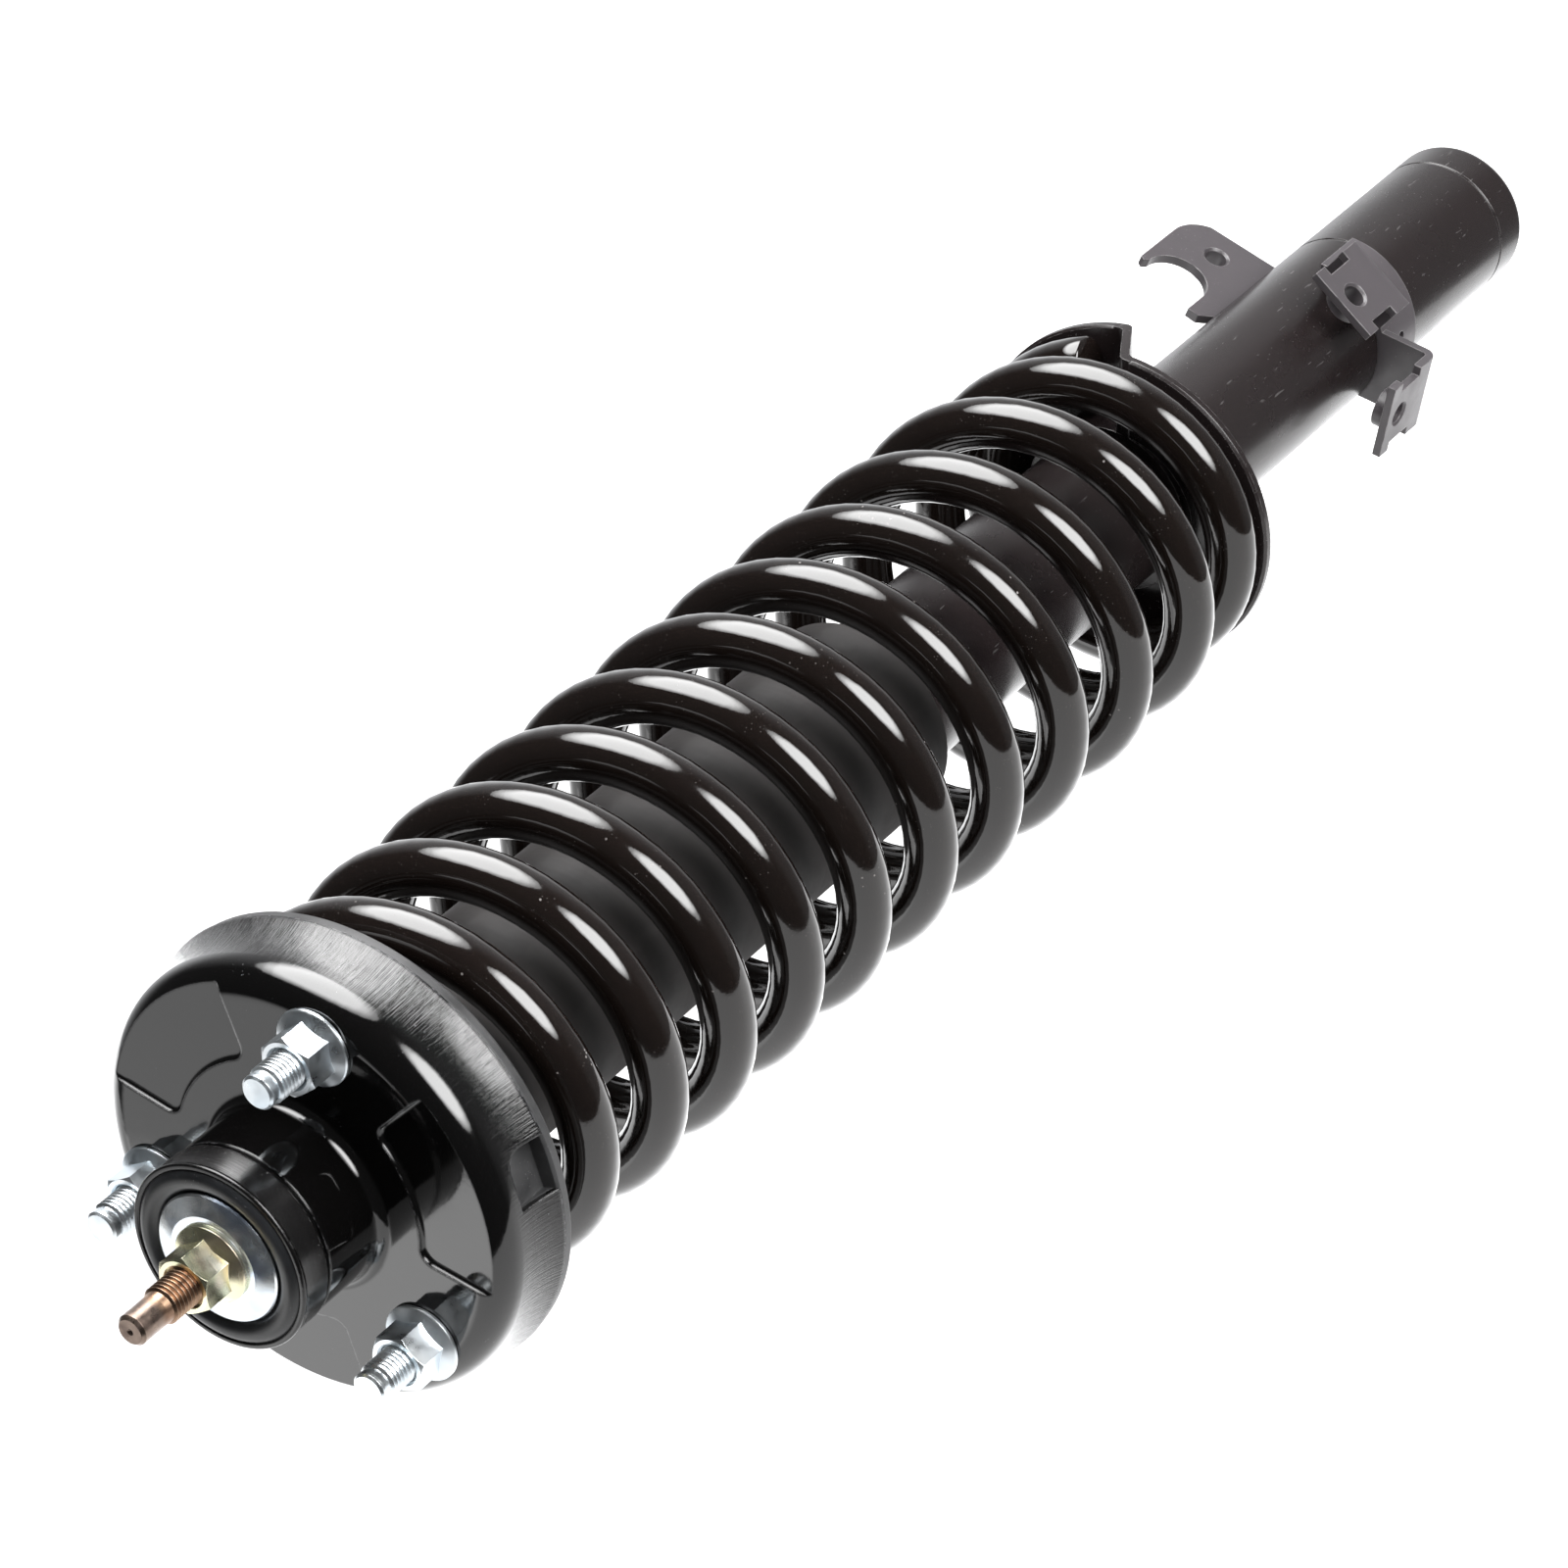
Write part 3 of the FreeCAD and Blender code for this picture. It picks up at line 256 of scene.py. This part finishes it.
def mount_paint():
    """Gloss black over pressed steel, with axial draw marks round the skirt and rubbed edges."""
    g = Finish("mount_paint")
    paint, bare = (0.0016, 0.0015, 0.0015), (0.10, 0.10, 0.105)
    on_skirt = g.times(g.span(g.radius(), *SKIRT_INNER_FADE), g.span(g.part("Z"), *SKIRT_TOP_FADE_Z))
    patches = g.span(g.noise(9.0, place=g.around(5.0)), 0.42, 0.58)
    fine_streaks = g.span(g.noise(190.0, 2.0, g.around(0.55)), 0.60, 0.70)
    scuffs = g.times(fine_streaks, g.times(patches, on_skirt))
    worn = g.rubbed_edges(0.0005, 420.0, 0.48, 0.62)
    specks = g.specks(700.0, 0.10, 0.05, 120.0, 0.57, 0.64)
    marks = g.most(g.times(scuffs, 0.22), g.most(specks, g.times(worn, 0.7)))
    smudged = g.span(g.noise(55.0, 4.0), 0.35, 0.7, 0.05, 0.11)
    roughness = g.plus(g.plus(smudged, g.times(marks, 0.3)), g.times(on_skirt, 0.10))
    peel = g.relief(g.noise(420.0, 2.0), 0.000010, g.round_edges(0.0011))
    draw_marks = g.times(g.noise(150.0, place=g.around(0.5)), on_skirt)
    normal = g.relief(draw_marks, 0.00020, peel)
    g.set(Base_Color=g.blend(marks, paint, bare), Roughness=roughness, Normal=normal)
    return g.set(Coat_Weight=0.3, Coat_Roughness=0.04).material


def spring_paint():
    """Thick brown-black powder coat: glossy, faint ripple, a few chips and dust."""
    g = Finish("spring_paint")
    clouds = g.noise(38.0, 4.0)
    chips = g.specks(320.0, 0.13, 0.07, 60.0, 0.60, 0.66)
    dust = g.specks(900.0, 0.16, 0.06, 90.0, 0.50, 0.62)
    marks = g.most(chips, g.times(dust, 0.4))
    body = g.blend(clouds, (0.0062, 0.0043, 0.0036), (0.0038, 0.0027, 0.0023))
    colour = g.blend(marks, body, (0.13, 0.12, 0.115))
    roughness = g.plus(g.clouded(clouds, 0.055, 0.105), g.times(marks, 0.35))
    ripple = g.relief(g.noise(120.0, 2.0), 0.00006)
    peel = g.relief(g.noise(700.0, 2.0), 0.000012, ripple)
    g.set(Base_Color=colour, Roughness=roughness, Normal=peel)
    return g.set(Coat_Weight=0.35, Coat_Roughness=0.04).material


def tube_paint():
    """Satin black with fine dust, handling scratches along the tube and rubbed edges."""
    g = Finish("tube_paint")
    clouds = g.noise(24.0, 5.0)
    dust = g.specks(650.0, 0.15, 0.06, 70.0, 0.46, 0.60)
    scratches = g.span(g.noise(900.0, 1.0, g.stretched(1.0, 1.0, 0.16)), 0.70, 0.78)
    worn = g.rubbed_edges(0.0004, 300.0, 0.40, 0.6)
    marks = g.most(g.times(dust, 0.45), g.most(g.times(scratches, 0.3), worn))
    body = g.blend(clouds, (0.0125, 0.0092, 0.0092), (0.0080, 0.0060, 0.0061))
    colour = g.blend(marks, body, (0.12, 0.115, 0.115))
    roughness = g.plus(g.clouded(clouds, 0.20, 0.30), g.times(marks, 0.2))
    grain = g.relief(g.noise(950.0, 2.0), 0.00002, g.round_edges(0.0005))
    return g.set(Base_Color=colour, Roughness=roughness, Normal=grain).material


def bracket_paint():
    """Satin dark grey on pressed plate; the paint is thin and pale along the sheared edges."""
    g = Finish("bracket_paint")
    clouds = g.noise(60.0, 4.0)
    worn = g.rubbed_edges(0.0004, 260.0, 0.30, 0.55)
    dust = g.specks(800.0, 0.15, 0.06, 80.0, 0.5, 0.6)
    marks = g.most(g.times(worn, 0.8), g.times(dust, 0.4))
    body = g.blend(clouds, (0.054, 0.048, 0.052), (0.036, 0.032, 0.035))
    colour = g.blend(marks, body, (0.26, 0.25, 0.25))
    grain = g.relief(g.noise(800.0), 0.00003, g.round_edges(0.0005))
    return g.set(Base_Color=colour, Roughness=g.clouded(clouds, 0.28, 0.42), Normal=grain).material


def housing_black():
    """Black drum of the bush: smooth, with turning lines and a rubbed rim."""
    g = Finish("housing_black")
    turning_lines = g.noise(2600.0, 1.0, g.stretched(0.02, 0.02, 1.0))
    worn = g.rubbed_edges(0.0005, 350.0, 0.45, 0.6)
    dust = g.specks(900.0, 0.16, 0.07, 150.0, 0.48, 0.6)
    colour = g.blend(g.most(worn, g.times(dust, 0.6)), (0.0022, 0.0020, 0.0020), (0.11, 0.11, 0.11))
    grooves = g.relief(turning_lines, 0.00002, g.round_edges(0.0005))
    return g.set(Base_Color=colour, Roughness=g.clouded(g.noise(70.0), 0.16, 0.28), Normal=grooves).material


def plated(name, light, dark, tint, tint_share, rough_low, rough_high, ring_depth=0.0):
    """Electroplated steel: faintly clouded, with a drifting tint and fine tool marks. With a ring
    depth it also has turned rings round the strut axis."""
    g = Finish(name)
    body = g.blend(g.span(g.noise(90.0), 0.35, 0.65), light, dark)
    drift = g.span(g.noise(60.0, 2.0), 0.46, 0.66)
    tinted = g.blend(g.times(drift, tint_share), body, tint)
    colour = g.blend(g.times(g.edge_mask(0.00015), 0.35), tinted, (0.95, 0.96, 0.97))
    marks = g.relief(g.noise(1500.0, 2.0), 0.000004, g.round_edges(0.00012))
    if ring_depth:
        marks = g.relief(g.noise(5200.0, 1.0, g.ring_place()), ring_depth, marks)
    roughness = g.clouded(g.noise(200.0), rough_low, rough_high)
    return g.set(Base_Color=colour, Metallic=1.0, Roughness=roughness, Normal=marks).material


def rod_steel():
    """Ground bright rod; the threaded end outside the mount is tinted bronze and rubbed bright."""
    g = Finish("rod_steel")
    z = g.part("Z")
    outside = g.span(z, *TINTED_ROD_FADE_Z)
    at_tip = g.span(z, *ROD_TIP_FADE_Z)
    bronze = g.blend(g.span(g.noise(210.0, 4.0), 0.35, 0.65), (0.36, 0.235, 0.155), (0.21, 0.130, 0.088))
    bronze = g.blend(g.times(g.edge_mask(0.00015), 0.4), bronze, (0.62, 0.47, 0.35))
    worn_tip = g.blend(g.span(g.noise(160.0, 4.0), 0.40, 0.64), (0.25, 0.19, 0.155), (0.17, 0.125, 0.105))
    colour = g.blend(outside, (0.62, 0.62, 0.62), g.blend(at_tip, bronze, worn_tip))
    roughness = g.plus(g.times(outside, 0.20), g.clouded(g.noise(400.0), 0.06, 0.20))
    marks = g.relief(g.noise(1300.0, 2.0), 0.000008, g.round_edges(0.00012))
    return g.set(Base_Color=colour, Metallic=1.0, Roughness=roughness, Normal=marks).material


def rubber(name, dark, light, rough_low, rough_high, grain_depth):
    """Moulded rubber, foam or bearing plastic: bloom in clouds, fine grain, dust."""
    g = Finish(name)
    bloom = g.noise(85.0, 5.0)
    dust = g.specks(1000.0, 0.17, 0.07, 110.0, 0.46, 0.6)
    body = g.blend(g.span(bloom, 0.35, 0.7), dark, light)
    colour = g.blend(g.times(dust, 0.35), body, (0.25, 0.25, 0.25))
    grain = g.relief(g.noise(1600.0), grain_depth, g.round_edges(0.0005))
    return g.set(Base_Color=colour, Roughness=g.clouded(bloom, rough_low, rough_high), Normal=grain).material


def cover_plastic():
    """Blow-moulded dust cover: dull brown-black, with scuffs and faint rings from the mould."""
    g = Finish("cover_plastic")
    rings = g.noise(520.0, 1.0, g.stretched(0.03, 0.03, 1.0))
    scuffs = g.span(g.noise(110.0, 5.0, g.stretched(1.0, 1.0, 0.3)), 0.55, 0.75)
    colour = g.blend(g.times(scuffs, 0.5), (0.0085, 0.0064, 0.0060), (0.019, 0.0155, 0.0150))
    waves = g.relief(rings, 0.00006, g.round_edges(0.0005))
    grain = g.relief(g.noise(1400.0, 2.0), 0.00001, waves)
    roughness = g.clouded(g.noise(60.0, 4.0), 0.58, 0.70)
    return g.set(Base_Color=colour, Roughness=roughness, Normal=grain).material


def plain_metal(name, light, dark, rough_low, rough_high):
    """Bare steel or sintered iron of the inner pieces."""
    g = Finish(name)
    colour = g.blend(g.span(g.noise(300.0, 5.0), 0.35, 0.65), light, dark)
    roughness = g.clouded(g.noise(500.0), rough_low, rough_high)
    marks = g.relief(g.noise(2200.0), 0.00002, g.round_edges(0.0003))
    return g.set(Base_Color=colour, Metallic=1.0, Roughness=roughness, Normal=marks).material


mount_black = mount_paint()
tube_black = tube_paint()
bracket_grey = bracket_paint()
zinc = plated("zinc", (0.84, 0.88, 0.90), (0.68, 0.73, 0.77), (0.72, 0.84, 0.92), 0.5, 0.26, 0.38)
washer_zinc = plated("washer_zinc", (0.90, 0.93, 0.94), (0.76, 0.82, 0.86), (0.55, 0.66, 0.86), 0.8,
                     0.18, 0.28, ring_depth=0.000006)
yellow_zinc = plated("yellow_zinc", (0.95, 0.92, 0.66), (0.80, 0.81, 0.52), (0.82, 0.58, 0.50), 0.5,
                     0.18, 0.28)
black_rubber = rubber("black_rubber", (0.0070, 0.0074, 0.0082), (0.013, 0.014, 0.016), 0.30, 0.42, 0.00002)
lip_rubber = rubber("lip_rubber", (0.018, 0.018, 0.0185), (0.035, 0.035, 0.036), 0.36, 0.50, 0.00004)
bump_foam = rubber("bump_foam", (0.34, 0.29, 0.13), (0.24, 0.20, 0.09), 0.6, 0.8, 0.0001)
band_plastic = rubber("band_plastic", (0.14, 0.22, 0.19), (0.10, 0.16, 0.14), 0.35, 0.5, 0.00002)
plain_steel = plain_metal("plain_steel", (0.60, 0.60, 0.60), (0.42, 0.42, 0.43), 0.22, 0.38)
sintered = plain_metal("sintered", (0.30, 0.30, 0.29), (0.17, 0.17, 0.17), 0.45, 0.62)

# The finish of every CAD node but coil_spring, which a detailed piece replaces below.
FINISHES = {
    "mount_base": mount_black,
    "mount_studs": zinc,
    "mount_nuts": zinc,
    "bush_housing": housing_black(),
    "bush_upper_rubber": black_rubber,
    "bush_lower_rubber": black_rubber,
    "bush_collar": plain_steel,
    "top_washer": washer_zinc,
    "rod_nut": yellow_zinc,
    "plate_washer": zinc,
    "piston_rod": rod_steel(),
    "spring_insulator": lip_rubber,
    "dust_cover": cover_plastic(),
    "bump_stop": bump_foam,
    "rebound_stop": plain_steel,
    "piston": sintered,
    "piston_band": band_plastic,
    "piston_valve_discs": plain_steel,
    "piston_nut": plain_steel,
    "rod_guide": sintered,
    "oil_seal": black_rubber,
    "inner_cylinder": plain_steel,
    "base_valve": sintered,
    "damper_tube": tube_black,
    "bottom_cap": tube_black,
    "lower_spring_seat": tube_black,
    "hose_hook": bracket_grey,
    "cable_bracket": bracket_grey,
}

for node_name, finish in FINISHES.items():
    for material_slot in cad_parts[node_name].material_slots:
        material_slot.material = finish


# ---------------------------------------------------------------- coil spring

def smooth(share):
    """Eases 0..1 in and out, clamped."""
    share = min(max(share, 0.0), 1.0)
    return share * share * (3 - 2 * share)


def spring_pitch(turn):
    """Drop per turn: closed at both ends, and growing slowly down the free coils."""
    open_top = smooth((turn - TOP_CLOSE_TURN) / CLOSE_BLEND + 0.5)
    open_low = smooth((LOW_CLOSE_TURN - turn) / CLOSE_BLEND + 0.5)
    body = PITCH_AT_START + PITCH_GROWTH * turn
    return CLOSED_PITCH + (body - CLOSED_PITCH) * open_top * open_low


def wire_centre(turn, drop):
    """Point on the wire's centre line; the last coil draws in slightly."""
    radius = MEAN_R - LAST_COIL_SHRINK * smooth((turn - SHRINK_START) / SHRINK_TURNS)
    azimuth = math.radians(START_AZ) - 2 * math.pi * turn
    return Vector((radius * math.cos(azimuth), radius * math.sin(azimuth), START_Z - drop))


def wire_line():
    """(turn, point) along the centre line, with the pitch added up from turn 0."""
    count = int((LAST_TURN - FIRST_TURN) * RINGS_PER_TURN)
    step = (LAST_TURN - FIRST_TURN) / count
    drops = [0.0]
    for index in range(count):
        drops.append(drops[-1] + step * spring_pitch(FIRST_TURN + (index + 0.5) * step))
    from_zero = -FIRST_TURN / step
    whole = int(from_zero)
    zero_drop = drops[whole] + (drops[whole + 1] - drops[whole]) * (from_zero - whole)
    turns = [FIRST_TURN + index * step for index in range(count + 1)]
    return [(turn, wire_centre(turn, drop - zero_drop)) for turn, drop in zip(turns, drops)]


def wire_rings():
    """(turn, centre, direction along the wire, direction outwards, radius) of each ring, with a
    smaller ring past each end for its chamfer."""
    line = wire_line()
    rings = []
    for index, (turn, centre) in enumerate(line):
        before = line[max(index - 1, 0)][1]
        after = line[min(index + 1, len(line) - 1)][1]
        along = (after - before).normalized()
        out = Vector((centre.x, centre.y, 0.0))
        out = (out - along * out.dot(along)).normalized()
        rings.append((turn, centre, along, out, WIRE_R))
    end_radius = WIRE_R - WIRE_END_CHAMFER
    turn, centre, along, out, _ = rings[0]
    rings.insert(0, (turn, centre - along * WIRE_END_CHAMFER, along, out, end_radius))
    turn, centre, along, out, _ = rings[-1]
    rings.append((turn, centre + along * WIRE_END_CHAMFER, along, out, end_radius))
    return rings


def coil_mesh():
    """Round wire swept down the winding, its ends sawn square with a small chamfer.
    Returns the mesh and, for each vertex, how far down the free coils it is, 0 to 1."""
    work = bmesh.new()
    weights = []
    loops = []
    for turn, centre, along, out, radius in wire_rings():
        up = along.cross(out)
        share = (turn - TOP_CLOSE_TURN) / (LOW_CLOSE_TURN - TOP_CLOSE_TURN)
        share = min(max(share, 0.0), 1.0)
        loop = []
        for side in range(RING_SIDES):
            angle = 2 * math.pi * side / RING_SIDES
            spoke = out * math.cos(angle) + up * math.sin(angle)
            loop.append(work.verts.new(centre + spoke * radius))
            weights.append(share)
        loops.append(loop)
    for upper, lower in zip(loops, loops[1:]):
        for side in range(RING_SIDES):
            after = (side + 1) % RING_SIDES
            work.faces.new((upper[side], upper[after], lower[after], lower[side]))
    work.faces.new(loops[0][::-1])
    work.faces.new(loops[-1])
    bmesh.ops.recalc_face_normals(work, faces=work.faces)
    mesh = bpy.data.meshes.new("spring_coil")
    work.to_mesh(mesh)
    work.free()
    mesh.shade_smooth()
    return mesh, weights


wire, wire_weights = coil_mesh()
wire.materials.append(spring_paint())
spring = bpy.data.objects.new("spring_coil", wire)
bpy.context.scene.collection.objects.link(spring)
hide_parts("coil_spring")
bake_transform(spring)


# ---------------------------------------------------------------- floor, light and camera

def floor():
    """Plain white floor under the foot, slightly self-lit so that it stays white. Reflections
    pass it by and see the studio."""
    bpy.ops.mesh.primitive_plane_add(size=FLOOR_SIZE, location=(0, 0, FLOOR_Z))
    plane = bpy.context.object
    plane.name = "floor"
    g = Finish("floor_white")
    g.set(Base_Color=FLOOR_COLOUR, Roughness=0.9)
    g.set(Emission_Color=WHITE, Emission_Strength=FLOOR_OWN_LIGHT)
    plane.data.materials.append(g.material)
    plane.visible_glossy = False


def softbox(name, axis_z, azimuth, elevation, distance, width, height, radiance, soft_edge):
    """Oval lamp set out from the strut axis and facing back to it. radiance is its brightness seen
    face on. It falls to SOFTBOX_RIM_SHARE of that over the soft edge, a share of its half width."""
    lamp = bpy.data.lights.new(name, "AREA")
    lamp.shape = "ELLIPSE"
    lamp.size = width
    lamp.size_y = height
    lamp.energy = radiance * math.pi * width * height * math.pi / 4
    if soft_edge:
        lamp.use_nodes = True
        g = Graph(lamp.node_tree)
        spot = g.nodes.new("ShaderNodeNewGeometry").outputs["Parametric"]
        from_middle = g.vector_maths("DISTANCE", spot, (0.5, 0.5, 0.0))
        fade = g.span(from_middle, 0.5 - soft_edge / 2, 0.5, 1.0, SOFTBOX_RIM_SHARE)
        g.put(g.nodes["Emission"].inputs["Strength"], fade)
    a, e = math.radians(azimuth), math.radians(elevation)
    toward = Vector((math.cos(a) * math.cos(e), math.sin(a) * math.cos(e), math.sin(e)))
    back = toward.normalized()
    right = Vector((0, 0, 1)).cross(back).normalized()
    turn = Matrix((right, back.cross(right), back)).transposed().to_4x4()
    holder = bpy.data.objects.new(name, lamp)
    bpy.context.scene.collection.objects.link(holder)
    holder.matrix_world = Matrix.Translation(Vector((0, 0, axis_z)) + toward * distance) @ turn
    holder.visible_camera = False


def surroundings():
    """Dim studio with soft glows for reflections, and pale where the camera sees past the floor."""
    world = bpy.data.worlds.new("studio")
    bpy.context.scene.world = world
    world.use_nodes = True
    world.node_tree.nodes.clear()
    g = Graph(world.node_tree)
    place = g.nodes.new("ShaderNodeTexCoord").outputs["Generated"]
    strength = 0.0
    for toward, start, full, out_low, out_high in STUDIO_GLOWS:
        likeness = g.vector_maths("DOT_PRODUCT", place, toward)
        strength = g.plus(strength, g.span(likeness, start, full, out_low, out_high))
    studio = g.nodes.new("ShaderNodeBackground")
    g.put(studio.inputs["Color"], STUDIO_COLOUR)
    g.put(studio.inputs["Strength"], strength)
    backdrop = g.nodes.new("ShaderNodeBackground")
    g.put(backdrop.inputs["Color"], BACKDROP_COLOUR)
    mix = g.nodes.new("ShaderNodeMixShader")
    ray = g.nodes.new("ShaderNodeLightPath")
    output = g.nodes.new("ShaderNodeOutputWorld")
    g.put(mix.inputs["Fac"], ray.outputs["Is Camera Ray"])
    g.put(mix.inputs[1], studio.outputs[0])
    g.put(mix.inputs[2], backdrop.outputs[0])
    g.put(output.inputs["Surface"], mix.outputs[0])


def camera():
    """Looks down the strut from its upper end, rolled so that the strut lies along the diagonal."""
    lens = bpy.data.cameras.new("camera")
    lens.sensor_width = SENSOR_MM
    lens.lens = LENS_MM
    lens.clip_start = 0.05
    lens.clip_end = 100.0
    right = CAMERA_RIGHT.normalized()
    upward = CAMERA_BACK.cross(right).normalized()
    turn = Matrix((right, upward, right.cross(upward))).transposed().to_4x4()
    holder = bpy.data.objects.new("camera", lens)
    bpy.context.scene.collection.objects.link(holder)
    holder.matrix_world = Matrix.Translation(CAMERA_PLACE) @ turn
    bpy.context.scene.camera = holder


floor()
for lamp_values in SOFTBOXES:
    softbox(*lamp_values)
surroundings()
camera()
bpy.context.scene.view_settings.view_transform = "Standard"
